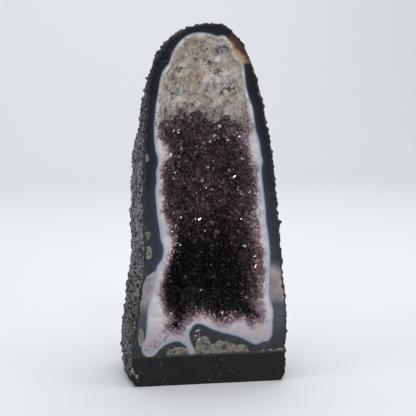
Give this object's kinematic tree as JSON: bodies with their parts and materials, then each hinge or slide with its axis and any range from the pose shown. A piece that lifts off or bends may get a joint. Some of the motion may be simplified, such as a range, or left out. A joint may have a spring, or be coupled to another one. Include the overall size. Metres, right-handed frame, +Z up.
{
  "type": "amethyst geode",
  "caption": "Tall amethyst geode split open, with a polished agate face round a crystal-lined hollow, standing upright on a flat cast foot.",
  "frame": {"origin": "centre of the footprint, on the plane that the geode stands on", "axes": "+Z up along the geode's length, -Y out of the sawn and polished face, +X to the right as seen from that face"},
  "size_m": [0.1458, 0.1137, 0.32],
  "materials": {
    "stone": "rough dark basalt coat, polished blue-grey agate on the sawn face",
    "crystal": "glassy quartz crystals, dark purple, with whitish quartz round the edge and pale calcite at the top",
    "foot": "smooth black cast cement, satin"
  },
  "bodies": {
    "root": {"rock_shell": "stone", "crystal_crust": "crystal", "cast_foot": "foot"}
  },
  "joints": []
}
